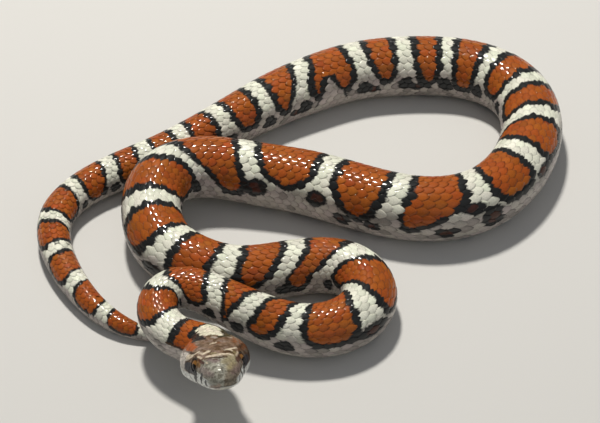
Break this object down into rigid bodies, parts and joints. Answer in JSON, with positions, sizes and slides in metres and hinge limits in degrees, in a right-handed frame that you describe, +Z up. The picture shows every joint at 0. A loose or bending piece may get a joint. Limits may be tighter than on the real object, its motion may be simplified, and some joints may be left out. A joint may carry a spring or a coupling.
{
  "type": "milk snake model",
  "caption": "Life-size milk snake lying in loose coils with its head raised, banded in orange, black and cream; a still display model.",
  "frame": {"origin": "on the floor, under the middle of the whole model's box", "axes": "+Z up; the head faces -Y, turned a little to +X; +X is the snake's left as it faces -Y"},
  "size_m": [0.1476, 0.1548, 0.0284],
  "materials": {
    "banded_skin": "smooth glossy scales in orange, black and cream bands",
    "head_skin": "smooth glossy head shields, mottled grey and brown",
    "throat_skin": "smooth cream lip and chin shields with dark seams",
    "eye": "wet, clear, amber with a round black pupil"
  },
  "bodies": {
    "root": {"head": "head_skin", "jaw": "throat_skin", "eye_left": "eye", "eye_right": "eye", "neck": "banded_skin", "body_01": "banded_skin", "body_02": "banded_skin", "body_03": "banded_skin", "body_04": "banded_skin", "body_05": "banded_skin", "body_06": "banded_skin", "body_07": "banded_skin", "body_08": "banded_skin", "body_09": "banded_skin", "body_10": "banded_skin", "body_11": "banded_skin", "body_12": "banded_skin", "body_13": "banded_skin", "body_14": "banded_skin", "tail_01": "banded_skin", "tail_02": "banded_skin", "tail_03": "banded_skin"}
  },
  "joints": []
}
